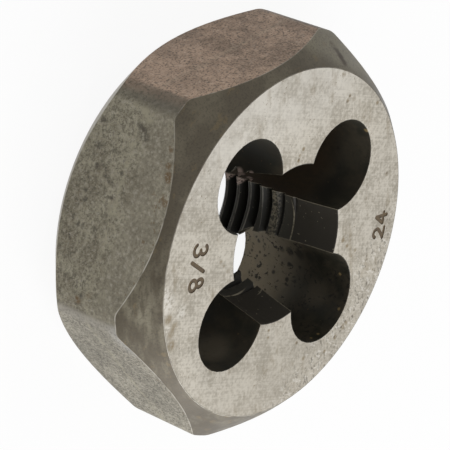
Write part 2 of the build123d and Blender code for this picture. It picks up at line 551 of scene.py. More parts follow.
def numeral_lines():
    """Middle lines of each numeral's strokes, one unit tall. A line that ends where it starts is a ring."""
    three_top = arc_points((0.27, 0.755), (0.25, 0.245), 150, -85, 12)
    three_foot = arc_points((0.29, 0.265), (0.30, 0.265), 85, -150, 13)
    eight_top = arc_points((0.30, 0.76), (0.21, 0.24), 0, 360, 21)
    eight_foot = arc_points((0.30, 0.26), (0.28, 0.26), 0, 360, 25)
    two_head = arc_points((0.29, 0.70), (0.27, 0.30), 165, -20, 10)
    two_neck = np.concatenate([two_head, straight((0.30, 0.30), (0.03, 0.02))])
    two_foot = straight((0.03, 0.02), (0.62, 0.02))
    four_stem = straight((0.46, 0.0), (0.46, 1.0))
    four_slope = straight((0.46, 1.0), (0.0, 0.30))
    four_bar = straight((0.0, 0.30), (0.66, 0.30))
    return {
        "3": [three_top, three_foot],
        "8": [eight_top, eight_foot],
        "2": [two_neck, two_foot],
        "4": [four_stem, four_slope, four_bar],
        "/": [straight((0.0, 0.0), (0.62, 1.0))],
    }


# text, radius of its foot, height, and the angle in degrees at which each numeral begins
MARKS = (
    ("3/8", 9.66 * MM, 1.26 * MM, (304.9, 312.1, 319.5)),
    ("24", 11.0 * MM, 1.18 * MM, (127.4, 133.3)),
)


def stroke_outline(line, width):
    """The outline of one stroke: both sides of its middle line and a half round at each end."""
    along = np.gradient(line, axis=0)
    along /= np.linalg.norm(along, axis=1, keepdims=True)
    aside = np.stack([-along[:, 1], along[:, 0]], axis=-1) * width / 2
    swing = np.radians(np.linspace(0, 180, 7))[1:-1, None]
    far = line[-1] - aside[-1] * np.cos(swing) + along[-1] * width / 2 * np.sin(swing)
    near = line[0] + aside[0] * np.cos(swing) - along[0] * width / 2 * np.sin(swing)
    return np.concatenate([line - aside, far, (line + aside)[::-1], near])


def mark_outlines(size):
    """Outlines of all strokes on the start face, with +1 for a filled one and -1 for a ring's inside.

    A numeral stands with its head towards the axis and reads round the axis: its width is laid along
    the circle through its middle and its height runs inwards.
    """
    outlines = []
    lines = numeral_lines()
    for text, foot, tall, starts in MARKS:
        for letter, first in zip(text, starts):
            for line in lines[letter]:
                radius = foot - line[:, 1] * tall
                angle = math.radians(first) + line[:, 0] * tall / (foot - tall / 2)
                points = np.stack([radius * np.cos(angle), radius * np.sin(angle)], axis=-1)
                if np.allclose(line[0], line[-1]):
                    ring = points[:-1]
                    tangent = np.roll(ring, -1, axis=0) - np.roll(ring, 1, axis=0)
                    tangent /= np.linalg.norm(tangent, axis=1, keepdims=True)
                    aside = np.stack([tangent[:, 1], -tangent[:, 0]], axis=-1) * size.mark_width / 2
                    pair = [ring + aside, ring - aside]
                    pair.sort(key=lambda loop: -np.ptp(loop[:, 0]))
                    outlines += [(pair[0], 1), (pair[1], -1)]
                else:
                    outlines.append((stroke_outline(points, size.mark_width), 1))
    return outlines


# Meshing


def grid_faces(rows, columns):
    """Corner numbers of a grid's quads, which face the side from which rows go up and columns go right."""
    number = np.arange(rows * columns).reshape(rows, columns)
    corners = [number[:-1, :-1], number[:-1, 1:], number[1:, 1:], number[1:, :-1]]
    return np.stack(corners, axis=-1).reshape(-1, 4)


class Parts:
    """Collects points, faces and the points' values from several surfaces."""

    def __init__(self):
        self.points, self.faces, self.finish, self.values = [], [], [], []
        self.count = 0

    def add(self, points, faces, finish, edge=None, rubbed=None):
        """One more surface, of one finish. Points without values of their own get 0."""
        points = points.reshape(-1, 3)
        blank = np.zeros(len(points))
        edge = blank if edge is None else edge.ravel()
        rubbed = blank if rubbed is None else rubbed.ravel()
        self.points.append(points)
        self.values.append(np.stack([edge, rubbed], axis=-1))
        self.faces += (faces + self.count).tolist()
        self.finish += [finish] * len(faces)
        self.count += len(points)


def face_cap(parts, outer, inner, outlines, height, depth, up):
    """Fills a face between its rim and the hollow, and sinks the marks into it.

    The rim, the hollow and the strokes are laid down as fixed lines of one triangulation. A triangle
    inside the hollow is dropped, and one inside a stroke is the floor of a mark, which a strip of
    wall joins to the face.
    """
    loops = [outer, inner] + [outline for outline, _ in outlines]
    flat = np.concatenate(loops)
    ends = np.cumsum([len(loop) for loop in loops])
    numbers = [list(range(end - len(loop), end)) for loop, end in zip(loops, ends)]
    points = [Vector(point) for point in (flat / MM).tolist()]
    keep_all, merge_distance, with_owners = 0, 1e-6, True
    result = delaunay_2d_cdt(points, [], numbers, keep_all, merge_distance, with_owners)
    places = np.array([point[:] for point in result[0]]) * MM
    corners = np.array(result[2])
    owners = result[5]
    fills = np.array([0, 0] + [sign for _, sign in outlines])
    inside = np.array([0 in own and 1 not in own for own in owners])

    def marked(own):
        """Whether a triangle lies in a stroke: inside an outline, and not inside its ring as well."""
        strokes = [outline for outline in own if outline > 1]
        filled = [outline for outline in strokes if fills[outline] > 0]
        ringed = [outline - 1 for outline in strokes if fills[outline] < 0]
        return any(outline not in ringed for outline in filled)

    mark = np.array([marked(own) for own in owners]) & inside
    one, two, three = (places[corners[:, column]] for column in range(3))
    area = np.cross(two - one, three - one)
    corners[area < 0] = corners[area < 0][:, ::-1]
    top = np.column_stack([places, np.full(len(places), height)])
    plain = corners[inside & ~mark]
    parts.add(top, plain if up else plain[:, ::-1], "face")
    if mark.any():
        low = top - np.array([0, 0, depth])
        floor = corners[mark]
        parts.add(low, floor, "mark")
        edges = np.concatenate([floor[:, [0, 1]], floor[:, [1, 2]], floor[:, [2, 0]]])
        keys = edges.min(1) * len(places) + edges.max(1)
        _, index, count = np.unique(keys, return_index=True, return_counts=True)
        border = edges[index[count == 1]]
        both = np.concatenate([low, top])
        shift = len(low)
        wall = np.stack([border[:, 1], border[:, 0], border[:, 0] + shift, border[:, 1] + shift], axis=-1)
        parts.add(both, wall, "mark")


def die_parts(size):
    """All surfaces of the die: the hollow, the outside and the two faces with their marks."""
    parts = Parts()
    tops, bottoms = [], []
    for points, edge, rubbed, finish in hollow_strips(size):
        faces = grid_faces(*points.shape[:2])[:, ::-1]
        parts.add(points, faces, finish, edge, rubbed)
        bottoms.append(points[0, :-1, :2])
        tops.append(points[-1, :-1, :2])
    strips, angle, back, start = outside_strips(size)
    for points, bright, finish in strips:
        parts.add(points, grid_faces(*points.shape[:2]), finish, bright)
    rim = np.stack([np.cos(angle), np.sin(angle)], axis=-1)
    top, bottom = np.concatenate(tops), np.concatenate(bottoms)
    face_cap(parts, rim * start, top, mark_outlines(size), size.thickness, size.mark_depth, True)
    face_cap(parts, rim * back, bottom, [], 0.0, 0.0, False)
    return parts


def closed_mesh(name, parts):
    """One welded mesh with a material slot for each finish, and its points' values as attributes."""
    mesh = bpy.data.meshes.new(name)
    mesh.from_pydata(np.concatenate(parts.points).tolist(), [], parts.faces)
    values = np.concatenate(parts.values)
    for column, label in enumerate(("edge", "rubbed")):
        layer = mesh.attributes.new(label, "FLOAT", "POINT")
        layer.data.foreach_set("value", values[:, column].astype(np.float32))
    order = list(FINISHES)
    slots = np.array([order.index(finish) for finish in parts.finish], np.int32)
    mesh.polygons.foreach_set("material_index", slots)
    work = bmesh.new()
    work.from_mesh(mesh)
    bmesh.ops.remove_doubles(work, verts=work.verts, dist=TINY)
    loose = [vertex for vertex in work.verts if not vertex.link_faces]
    bmesh.ops.delete(work, geom=loose, context="VERTS")
    work.to_mesh(mesh)
    work.free()
    mesh.validate()
    mesh.shade_smooth()
    mesh.set_sharp_from_angle(angle=math.radians(SHARP_ANGLE))
    mesh.update()
    return mesh


# Materials


# Marks of wear with places of their own: x and y in millimetres, z too where it isn't the start face, then
# the half width in millimetres and the strength

# brown stains on the start face
FACE_STAINS = (
    (10.08, -5.80, 0.50, 0.7), (9.99, -4.94, 0.45, 0.6), (11.0, -4.04, 0.55, 0.7),
    (10.51, -4.76, 0.50, 0.6), (-4.06, -4.19, 0.20, 0.9), (-4.34, -4.38, 0.18, 0.7),
    (-4.84, -4.47, 0.22, 0.8), (-3.41, -6.94, 0.25, 0.4), (-9.69, -3.53, 0.24, 0.7),
    (-10.02, -3.65, 0.20, 0.7), (-10.19, -3.11, 0.26, 0.5), (-11.7, -0.70, 0.24, 0.7),
    (-10.41, -5.50, 0.30, 0.6), (-9.61, 4.88, 0.25, 0.7), (4.69, 3.81, 0.18, 0.8),
    (5.04, 4.21, 0.18, 0.8), (0.71, 10.79, 0.26, 0.9), (-0.27, 10.88, 0.35, 0.7),
    (-0.60, 10.92, 0.30, 0.7), (3.47, 7.31, 0.20, 0.7), (2.03, 10.69, 0.20, 0.8),
    (3.65, 9.03, 0.25, 0.6), (4.75, -4.79, 0.22, 0.6), (4.72, -4.29, 0.18, 0.6),
    (4.70, -3.64, 0.22, 0.6), (-3.86, 5.01, 0.28, 0.8), (-3.89, 5.80, 0.24, 0.8),
    (-4.28, 6.86, 0.20, 0.7),
)

# small dark nicks on the start face
FACE_NICKS = (
    (-2.95, 5.45, 0.13, 0.5), (-5.34, 8.78, 0.13, 0.6), (-2.28, 10.81, 0.12, 0.6),
    (-1.71, 10.88, 0.12, 0.6), (-1.32, 11.09, 0.14, 0.6), (-0.64, 10.71, 0.14, 0.6),
    (-0.11, 10.72, 0.16, 0.6), (0.12, 10.89, 0.12, 0.5), (0.78, 10.69, 0.14, 0.6),
    (1.20, 11.38, 0.12, 0.5), (2.12, 10.76, 0.10, 0.5), (3.43, 7.37, 0.12, 0.5),
    (-3.80, 10.69, 0.10, 0.5), (-2.59, 10.73, 0.12, 0.5), (2.90, 10.77, 0.10, 0.4),
    (6.26, 9.64, 0.12, 0.4), (-10.01, -3.63, 0.10, 0.6), (-9.57, -3.53, 0.12, 0.5),
    (-11.98, -0.63, 0.12, 0.6), (-4.15, -4.26, 0.10, 0.6), (-9.64, 4.84, 0.12, 0.5),
    (-4.63, 8.65, 0.10, 0.4),
)

# scraped pale places on the start face
FACE_SCRAPES = (
    (9.56, -6.81, 0.9, 0.8), (9.06, -5.22, 0.7, 0.6), (9.42, -7.66, 0.8, 0.8), (10.7, -5.3, 0.6, 0.5),
)

# a brown run on the start chamfer
CHAMFER_STAINS = (
    (-11.52, -6.25, 8.45, 0.42, 0.8), (-11.38, -5.95, 8.78, 0.48, 1.0),
    (-11.20, -5.66, 9.05, 0.46, 0.9), (-11.55, -6.60, 8.20, 0.48, 0.6),
)

# dark blots, scraped places and rusty dots on the flats
FLAT_BLOTS = (
    (2.05, -13.48, 5.31, 0.50, 0.8), (1.75, -13.65, 4.92, 0.35, 0.7), (2.29, -13.34, 5.67, 0.40, 0.7),
    (4.64, -11.98, 2.53, 0.30, 0.7), (4.55, -12.04, 4.65, 0.22, 0.8), (5.05, -11.75, 3.59, 0.28, 0.7),
    (6.64, -10.83, 2.39, 0.30, 0.7), (5.97, -11.22, 4.44, 0.24, 0.8), (3.58, -12.60, 2.21, 0.40, 0.6),
    (2.19, -13.40, 2.01, 0.45, 0.6), (6.15, -11.11, 2.25, 0.24, 0.7), (7.39, -10.40, 0.87, 0.30, 0.7),
    (8.12, -9.98, 2.45, 0.26, 0.8), (8.01, -10.04, 3.89, 0.26, 0.7),
)
FLAT_SCRAPES = (
    (0.79, -14.21, 4.22, 0.55, 0.7), (0.99, -14.09, 5.00, 0.55, 0.9), (1.20, -13.97, 5.52, 0.60, 0.9),
    (2.92, -12.98, 4.77, 0.30, 0.8), (4.04, -12.33, 4.85, 0.28, 0.8), (6.61, -10.85, 4.82, 0.50, 0.9),
)
RUST_DOTS = (
    (2.42, -13.27, 7.83, 0.28, 0.7), (3.27, -12.78, 8.01, 0.32, 0.9), (3.78, -12.48, 8.20, 0.38, 1.0),
    (3.97, -12.37, 8.33, 0.34, 1.0), (4.98, -11.79, 8.33, 0.32, 0.8), (5.22, -11.65, 8.60, 0.32, 0.9),
    (12.0, -7.75, 4.10, 0.40, 1.0), (11.5, -8.03, 4.90, 0.34, 0.3),
)

# painted light and painted shade in the chip holes
HOLE_PAINTED_LIGHT = (
    (7.8, 2.98, 7.1, 1.9, 0.9), (-9.14, 2.07, 8.2, 1.9, 0.35), (-1.3, 9.6, 6.9, 1.4, 0.5),
)
HOLE_PAINTED_SHADE = (
    (-6.16, 3.13, 7.60, 1.70, 0.8), (-2.69, -5.03, 7.30, 1.80, 0.8), (-2.84, 8.14, 3.43, 0.35, 0.6),
    (-2.89, 8.04, 4.18, 0.50, 0.7), (-2.93, 7.95, 5.10, 0.60, 0.8), (-3.00, 7.78, 6.03, 0.65, 0.8),
    (-3.06, 7.58, 6.97, 0.65, 0.8), (-3.15, -6.30, 8.80, 1.50, 0.6),
)

# rusty flecks, pinkish ends of teeth and black specks in the chip holes
HOLE_RUST = (
    (-2.78, 8.26, 8.65, 0.17, 0.9), (-0.93, 9.76, 9.19, 0.16, 0.9), (1.45, 9.55, 9.05, 0.16, 0.8),
    (2.07, 9.13, 9.04, 0.14, 0.8), (-9.89, 0.18, 9.42, 0.24, 1.0),
)
HOLE_RAGS = (
    (-1.85, -4.14, 6.00, 0.42, 1.0), (-1.91, -4.19, 6.99, 0.36, 0.9), (-4.57, 2.33, 1.13, 0.36, 0.9),
    (-4.50, 2.27, 1.95, 0.32, 0.8),
)
HOLE_SPECKS = (
    (-1.53, 9.51, 2.97, 0.22, 0.9), (-2.29, 8.92, 4.14, 0.26, 0.9), (-2.36, 8.85, 5.10, 0.20, 0.8),
    (-1.42, 9.56, 4.25, 0.24, 0.9), (-1.49, 9.53, 4.95, 0.20, 0.8), (-2.22, 9.00, 3.53, 0.16, 0.8),
    (-2.31, 8.90, 1.43, 0.16, 0.8), (-2.80, 8.23, 1.30, 0.20, 0.9), (-2.77, 8.27, 1.86, 0.18, 0.8),
    (-2.04, 9.16, 1.22, 0.14, 0.8), (-2.20, 9.02, 6.13, 0.16, 0.7), (-2.25, 8.97, 0.70, 0.16, 0.8),
    (-8.83, 2.37, 6.27, 0.26, 0.9), (-8.95, 2.25, 6.75, 0.20, 0.8),
)


class Coat:
    """The nodes of one material, with short calls that add and link them."""

    def __init__(self, name):
        self.material = bpy.data.materials.new(name)
        self.material.use_nodes = True
        self.tree = self.material.node_tree
        self.tree.nodes.clear()
        self.output = self.add("ShaderNodeOutputMaterial")
        self.shader = self.add("ShaderNodeBsdfPrincipled")
        self.tree.links.new(self.shader.outputs[0], self.output.inputs["Surface"])
        self.place = self.add("ShaderNodeTexCoord").outputs["Object"]
        axes = self.add("ShaderNodeSeparateXYZ")
        self.feed(axes.inputs[0], self.place)
        self.x, self.y, self.z = axes.outputs
        flat = self.math("ADD", self.math("MULTIPLY", self.x, self.x), self.math("MULTIPLY", self.y, self.y))
        self.radius = self.math("SQRT", flat)

    def add(self, kind, **settings):
        """A new node with some of its settings."""
        node = self.tree.nodes.new(kind)
        for key, value in settings.items():
            setattr(node, key, value)
        return node

    def feed(self, socket, value):
        """Links an output to a socket, or sets the socket to a number or a colour."""
        if isinstance(value, bpy.types.NodeSocket):
            self.tree.links.new(value, socket)
        elif isinstance(value, (int, float)):
            socket.default_value = value
        else:
            filled = list(value)
            socket.default_value = filled + [1.0] * (len(socket.default_value) - len(filled))

    def math(self, operation, *values):
        """The result of one sum on numbers or outputs."""
        node = self.add("ShaderNodeMath", operation=operation)
        for socket, value in zip(node.inputs, values):
            self.feed(socket, value)
        return node.outputs[0]

    def times(self, *values):
        """Product of any number of values."""
        result = values[0]
        for value in values[1:]:
            result = self.math("MULTIPLY", result, value)
        return result

    def brushed(self, angle, length):
        """Coordinates for marks `length` times as long at one angle in the XY plane as across it."""
        spin = self.add("ShaderNodeMapping", vector_type="POINT")
        self.feed(spin.inputs["Vector"], self.place)
        spin.inputs["Rotation"].default_value = (0, 0, -math.radians(angle))
        grow = self.add("ShaderNodeMapping", vector_type="POINT")
        self.feed(grow.inputs["Vector"], spin.outputs[0])
        grow.inputs["Scale"].default_value = (1 / length, 1, 1)
        return grow.outputs[0]

    def round_axis(self, length, across):
        """Coordinates for marks `length` times as long round the axis as across it.

        They run round a circle of about the die's radius, drawn that many times smaller, and along `across`.
        """
        share = RIM_RADIUS * MM / length
        node = self.add("ShaderNodeCombineXYZ")
        self.feed(node.inputs[0], self.times(self.math("DIVIDE", self.x, self.radius), share))
        self.feed(node.inputs[1], self.times(self.math("DIVIDE", self.y, self.radius), share))
        self.feed(node.inputs[2], across)
        return node.outputs[0]

    def noise(self, size, detail=4.0, rough=0.55, place=None, distortion=0.0):
        """Soft noise whose grains are about `size` metres wide."""
        node = self.add("ShaderNodeTexNoise", noise_dimensions="3D")
        self.feed(node.inputs["Vector"], place or self.place)
        node.inputs["Scale"].default_value = 1 / size
        node.inputs["Detail"].default_value = detail
        node.inputs["Roughness"].default_value = rough
        node.inputs["Distortion"].default_value = distortion
        return node.outputs[0]

    def step(self, value, low, high, start=0.0, end=1.0):
        """A value that eases from start to end as another goes from low to high."""
        node = self.add("ShaderNodeMapRange", interpolation_type="SMOOTHSTEP", clamp=True)
        for label, number in (("From Min", low), ("From Max", high), ("To Min", start), ("To Max", end)):
            node.inputs[label].default_value = number
        self.feed(node.inputs["Value"], value)
        return node.outputs["Result"]

    def spot(self, place, half):
        """1 at one place, easing to 0 at `half` from it, in millimetres.

        A place without a z is on the start face.
        """
        x, y, z = (*place, THICKNESS)[:3]
        node = self.add("ShaderNodeVectorMath", operation="DISTANCE")
        self.feed(node.inputs[0], self.place)
        node.inputs[1].default_value = (x * MM, y * MM, z * MM)
        return self.step(node.outputs["Value"], half * 0.3 * MM, half * MM, 1, 0)

    def dabs(self, base, marks, tint, gate=1.0):
        """Lays a colour over the base at listed places, each at its strength and where the gate is open."""
        for *place, half, strength in marks:
            share = self.times(self.spot(place, half), gate, strength)
            base = self.mix(share, base, tint)
        return base

    def mix(self, share, one, two):
        """From colour one to colour two as the share goes from 0 to 1."""
        node = self.add("ShaderNodeMix", data_type="RGBA", clamp_factor=True)
        self.feed(node.inputs[0], share)
        self.feed(node.inputs[6], one)
        self.feed(node.inputs[7], two)
        return node.outputs[2]

    def value(self, label):
        """One of the mesh's own values."""
        node = self.add("ShaderNodeAttribute", attribute_type="GEOMETRY", attribute_name=label)
        return node.outputs["Fac"]

    def toward(self, angle):
        """How far a point lies from the axis in one direction, in degrees."""
        turn = math.radians(angle)
        return self.math("MULTIPLY_ADD", self.x, math.cos(turn), self.times(self.y, math.sin(turn)))

    def bump(self, height, strength, distance):
        """Relief of the surface, `distance` metres deep."""
        node = self.add("ShaderNodeBump")
        node.inputs["Strength"].default_value = strength
        node.inputs["Distance"].default_value = distance
        self.feed(node.inputs["Height"], height)
        self.tree.links.new(node.outputs[0], self.shader.inputs["Normal"])

    def finish(self, base, roughness, metallic, specular=0.5):
        """Gives the shader its colour and gloss, and hands back the material."""
        self.feed(self.shader.inputs["Base Color"], base)
        self.feed(self.shader.inputs["Roughness"], roughness)
        self.shader.inputs["Metallic"].default_value = metallic
        self.shader.inputs["Specular IOR Level"].default_value = specular
        return self.material


def face_steel(tone):
    """Ground faces: hairlines both ways, soft clouds, brown specks and stains, and scraped pale places."""
    coat = Coat("ground steel face")
    level = coat.noise(0.10 * MM, 2, 0.5, coat.brushed(125, 30))
    upright = coat.noise(0.16 * MM, 2, 0.5, coat.brushed(56, 9))
    cloud = coat.noise(2.0 * MM, 5, 0.58)
    fine = coat.noise(0.24 * MM, 3, 0.6)

    # hairlines and clouds, darker towards one side and paler towards the other
    share = coat.math("MULTIPLY_ADD", upright, 0.14, coat.times(cloud, 0.28))
    share = coat.math("MULTIPLY_ADD", level, 0.18, share)
    share = coat.math("MULTIPLY_ADD", fine, 0.40, share)
    base = coat.mix(coat.step(share, 0.39, 0.585), tone.ground_dark, tone.ground_light)
    base = coat.mix(coat.step(coat.toward(72), 2 * MM, 11 * MM, 0, 0.35), base, tone.ground_dark)
    pale = coat.step(coat.toward(246), 5.5 * MM, 10.5 * MM, 0, 0.65)
    pale = coat.times(pale, coat.step(cloud, 0.34, 0.56, 0.3, 1))
    base = coat.mix(pale, base, tone.ground_pale)

    # brown film and dots, and scuffs near the rim at one side
    film = coat.step(coat.noise(0.9 * MM, 5, 0.65, coat.brushed(56, 2.5)), 0.56, 0.70)
    base = coat.mix(coat.times(film, 0.30), base, tone.stain)
    dots = coat.step(coat.noise(0.17 * MM, 3, 0.65), 0.60, 0.68)
    dots = coat.times(dots, coat.step(coat.noise(1.5 * MM, 2, 0.5), 0.46, 0.58))
    base = coat.mix(coat.times(dots, 0.8), base, tone.stain)
    rim = coat.step(coat.toward(95), 6.5 * MM, 10 * MM)
    scuffs = coat.step(coat.noise(0.20 * MM, 3, 0.6, coat.brushed(56, 2)), 0.575, 0.63)
    base = coat.mix(coat.times(scuffs, rim, 0.55), base, tone.pit)
    scuffs = coat.step(coat.noise(0.26 * MM, 3, 0.6, coat.brushed(110, 2)), 0.56, 0.64)
    base = coat.mix(coat.times(scuffs, rim, 0.6), base, tone.ground_pale)

    # marks with places of their own
    base = coat.dabs(base, FACE_SCRAPES, tone.ground_pale, coat.step(fine, 0.40, 0.55))
    base = coat.dabs(base, FACE_STAINS, tone.stain, coat.step(fine, 0.36, 0.54, 0.2, 1))
    base = coat.dabs(base, FACE_NICKS, tone.dark_stain_and_shade)
    coat.bump(coat.math("MULTIPLY_ADD", coat.math("ADD", level, upright), 0.6, fine), 0.20, 0.006 * MM)
    return coat.finish(base, coat.step(cloud, 0.3, 0.7, 0.42, 0.56), 0.40)


def worn_edges_and_highlight(coat, base, side, tone):
    """Bare steel along the worn edges, in broken stretches, and more of it where `side` is 1, which is a
    painted highlight on that side.
    """
    broken = coat.step(coat.noise(0.9 * MM, 2, 0.5), 0.34, 0.60, 0.25, 1)
    worn = coat.times(coat.step(coat.value("edge"), 0.15, 0.95), broken)
    return coat.mix(coat.times(worn, coat.math("MULTIPLY_ADD", side, 0.50, 0.28)), base, tone.bright)


def chamfer_steel(tone):
    """Turned chamfers: dark scale with painted light and painted shade in stretches, drawn smudges on one
    side, a brown run, and a bare back chamfer.
    """
    coat = Coat("turned chamfer scale")
    patch = coat.noise(2.2 * MM, 4, 0.55)
    turned = coat.noise(0.30 * MM, 4, 0.6, coat.round_axis(4, coat.radius))
    grain = coat.noise(0.14 * MM, 4, 0.65)
    side = coat.step(coat.x, 4 * MM, 9.5 * MM)
    base = coat.mix(coat.step(patch, 0.38, 0.66), tone.turned_dark_and_hole_light, tone.turned_light)

    # stretches of painted light and painted shade: direction in degrees, where it eases in, in millimetres,
    # strength and colour
    stretches = (
        (305, 12.0, 12.9, 0.80, tone.smudge_and_shade),
        (330, 12.0, 13.2, 0.45, tone.thin_scale_and_light),
        (203, 11.8, 12.8, 0.45, tone.thin_scale_and_light),
        (0, 10.9, 11.9, 0.80, tone.smudge_and_shade),
    )
    for direction, near, far, strength, tint in stretches:
        share = coat.step(coat.toward(direction), near * MM, far * MM, 0, strength)
        base = coat.mix(share, base, tint)

    # smudges drawn round by the turning, brown runs and pits
    drawn = coat.times(coat.step(turned, 0.42, 0.64), coat.math("MULTIPLY_ADD", side, 0.60, 0.10))
    base = coat.mix(drawn, base, tone.smudge_and_shade)
    base = coat.mix(coat.times(coat.step(turned, 0.50, 0.28), side, 0.20), base, tone.thin_scale_and_light)
    runs = coat.step(coat.noise(0.5 * MM, 4, 0.6, coat.round_axis(3, coat.radius)), 0.58, 0.68)
    base = coat.mix(coat.times(runs, 0.35), base, tone.stain)
    base = coat.mix(coat.step(grain, 0.48, 0.64, 0, 0.42), base, tone.pit)
    base = coat.dabs(base, CHAMFER_STAINS, tone.dark_stain_and_shade, coat.step(turned, 0.36, 0.50, 0.5, 1))

    # bare back chamfer, and worn edges with a painted highlight on one side
    bare = coat.times(coat.step(coat.z, 3.0 * MM, 4.0 * MM, 1, 0), coat.step(turned, 0.34, 0.56, 0.62, 1))
    base = coat.mix(bare, base, tone.bare)
    base = worn_edges_and_highlight(coat, base, side, tone)
    coat.bump(coat.math("ADD", coat.times(grain, 0.6), turned), 0.3, 0.012 * MM)
    return coat.finish(base, coat.step(patch, 0.3, 0.7, 0.40, 0.52), 0.3)


def flat_steel(tone):
    """Wrench flats: scale that differs from flat to flat, with pits, fibres and a rubbed line.

    Two flats are reddish, two are cleaner and pale, and two olive. Their turned corners carry painted light,
    painted shade and a painted sheen, and their edges are worn.
    """
    coat = Coat("pitted wrench flat scale")
    mottle = coat.noise(0.50 * MM, 5, 0.62)
    broad = coat.noise(2.4 * MM, 4, 0.55)
    coarse = coat.noise(0.25 * MM, 3, 0.60)
    finer = coat.noise(0.14 * MM, 3, 0.60)
    lie = coat.noise(0.22 * MM, 3, 0.55, coat.round_axis(1.8, coat.z), 0.6)
    fibres = coat.noise(0.15 * MM, 2, 0.5, coat.round_axis(0.8, coat.z), 1.6)
    red = coat.step(coat.math("MAXIMUM", coat.toward(240), coat.toward(120)), 12.2 * MM, 12.55 * MM)
    pale = coat.step(coat.math("MAXIMUM", coat.toward(0), coat.toward(180)), 12.2 * MM, 12.6 * MM)
    other = coat.math("MAXIMUM", red, pale)
    olive = coat.math("SUBTRACT", 1, other)
    smooth = coat.step(coat.z, 4.9 * MM, 6.2 * MM, 1, 0.35)

    # scale of each pair of flats
    light = coat.step(coat.math("MULTIPLY_ADD", broad, 0.6, coat.times(mottle, 0.6)), 0.46, 0.74)
    base = coat.mix(light, tone.scale_olive, tone.thin_scale_and_light)
    reddish = coat.math("ADD", light, coat.step(coat.math("ABSOLUTE", coat.y), 10.5 * MM, 13.5 * MM, 0, 0.4))
    base = coat.mix(red, base, coat.mix(reddish, tone.red_dark, tone.scale_pink))
    base = coat.mix(pale, base, coat.mix(light, tone.scale_grey, tone.scale_pale))
    even = coat.times(coat.step(coat.z, 5.0 * MM, 6.4 * MM, 0, 0.6), olive)
    base = coat.mix(even, base, tone.scale_even)

    # pits, finer where the scale is pale, and deeper ones that are longer round the axis
    fine_share = coat.math("MAXIMUM", pale, coat.times(red, 0.6))
    grain = coat.times(coarse, coat.math("SUBTRACT", 1, fine_share))
    grain = coat.math("ADD", grain, coat.times(finer, fine_share))
    pits = coat.times(coat.step(grain, 0.47, 0.64, 0, 0.56), coat.math("MULTIPLY_ADD", even, -0.8, 1))
    base = coat.mix(pits, base, tone.pit)
    finest = coat.math("MULTIPLY_ADD", pale, 0.50, coat.math("MULTIPLY_ADD", red, 0.25, 0.22))
    base = coat.mix(coat.times(coat.step(finer, 0.54, 0.62), finest), base, tone.pit)
    base = coat.mix(coat.step(grain, 0.48, 0.32, 0, 0.24), base, tone.bright)
    deep = coat.times(coat.step(lie, 0.56, 0.63), coat.step(coat.noise(0.9 * MM, 3, 0.5), 0.42, 0.54))
    deep = coat.times(deep, smooth, coat.math("MULTIPLY_ADD", other, -0.40, 0.48))
    base = coat.mix(deep, base, tone.pit)

    # rubbed line near half height, and fibres in the olive scale
    line = coat.math("ABSOLUTE", coat.math("SUBTRACT", coat.z, 4.85 * MM))
    line = coat.times(coat.step(line, 0.04 * MM, 0.34 * MM, 1, 0), coat.step(mottle, 0.38, 0.54))
    line = coat.times(line, coat.math("SUBTRACT", 0.60, coat.times(red, 0.45)))
    base = coat.mix(line, base, tone.thin_scale_and_light)
    fibrous = coat.times(olive, smooth)
    base = coat.mix(coat.times(coat.step(fibres, 0.55, 0.65), fibrous, 0.62), base, tone.scale_pale)
    base = coat.mix(coat.times(coat.step(fibres, 0.44, 0.34), fibrous, 0.62), base, tone.pit)

    # marks with places of their own, and rust below the start chamfer
    base = coat.dabs(base, FLAT_BLOTS, tone.pit, coat.step(coarse, 0.36, 0.52, 0.2, 0.9))
    base = coat.dabs(base, FLAT_SCRAPES, tone.thin_scale_and_light, coat.step(coarse, 0.44, 0.56))
    rust = coat.step(coat.noise(0.35 * MM, 3, 0.6), 0.60, 0.68)
    rust = coat.times(rust, coat.step(coat.z, 6.8 * MM, 8.2 * MM, 0.15, 0.7))
    base = coat.mix(rust, base, tone.rust)
    base = coat.dabs(base, RUST_DOTS, tone.rust, coat.step(grain, 0.40, 0.52, 0.2, 1))

    # turned corners with painted light on one side and painted shade on the other, a painted sheen on one
    # corner, and worn edges with a painted highlight on one side
    ragged = coat.math("MULTIPLY_ADD", mottle, 0.10 * MM, coat.radius)
    below = coat.step(coat.toward(60), -0.20 * MM, 0.35 * MM)
    lit_corner_side = coat.times(coat.step(coat.x, 2 * MM, 10 * MM), below)
    shaded_corner_side = coat.times(coat.step(coat.x, 1.0 * MM, 0.2 * MM), coat.step(coat.z, 1 * MM, 6 * MM, 0.6, 1))
    corner = coat.math("MAXIMUM", lit_corner_side, shaded_corner_side)
    corner = coat.times(coat.step(ragged, 14.17 * MM, 14.28 * MM), corner)
    corner = coat.times(corner, coat.math("MULTIPLY_ADD", lit_corner_side, -0.22, 0.78))
    base = coat.mix(corner, base, coat.mix(lit_corner_side, tone.corner, tone.corner_painted_light))
    sheen = coat.step(coat.toward(340), 13.2 * MM, 13.9 * MM)
    sheen = coat.times(sheen, coat.step(coat.z, 6.2 * MM, 8.0 * MM), below, 0.55)
    base = coat.mix(sheen, base, tone.sheen)
    base = worn_edges_and_highlight(coat, base, coat.step(coat.x, 3 * MM, 9 * MM), tone)
    coat.bump(coat.math("SUBTRACT", coat.math("ADD", coat.times(mottle, 0.6), grain), deep), 0.6, 0.022 * MM)
    return coat.finish(base, coat.step(grain, 0.3, 0.7, 0.48, 0.62), 0.25)


